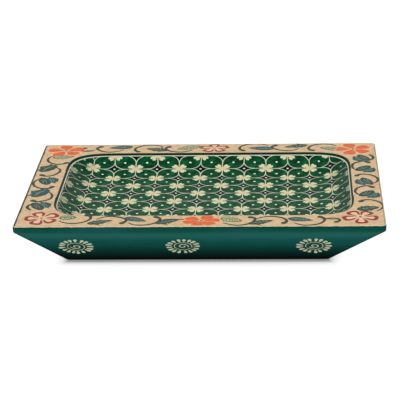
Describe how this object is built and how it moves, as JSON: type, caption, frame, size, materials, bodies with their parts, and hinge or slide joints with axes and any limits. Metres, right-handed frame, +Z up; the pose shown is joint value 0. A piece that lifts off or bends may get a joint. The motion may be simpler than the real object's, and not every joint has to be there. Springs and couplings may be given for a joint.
{
  "type": "carved wooden serving tray",
  "caption": "Oblong hardwood serving tray with flaring flat sides, a dished recess and a broad flat rim, dyed and lacquered all over.",
  "frame": {"origin": "on the table under the middle of the rim's outline", "axes": "+X along the tray to its right-hand end, +Y to its back, +Z up out of the recess"},
  "size_m": [0.25, 0.172, 0.0385],
  "materials": {
    "dyed_wood": "wax-resist dyed in dark green, cream and brick red, then lacquered semi-gloss",
    "bamboo": "split bamboo, turned round, bare",
    "black_felt": "pressed felt, matte"
  },
  "bodies": {
    "root": {"front_board": "dyed_wood", "middle_board": "dyed_wood", "back_board": "dyed_wood", "front_left_peg": "bamboo", "front_right_peg": "bamboo", "back_left_peg": "bamboo", "back_right_peg": "bamboo", "base_felt": "black_felt"}
  },
  "joints": []
}
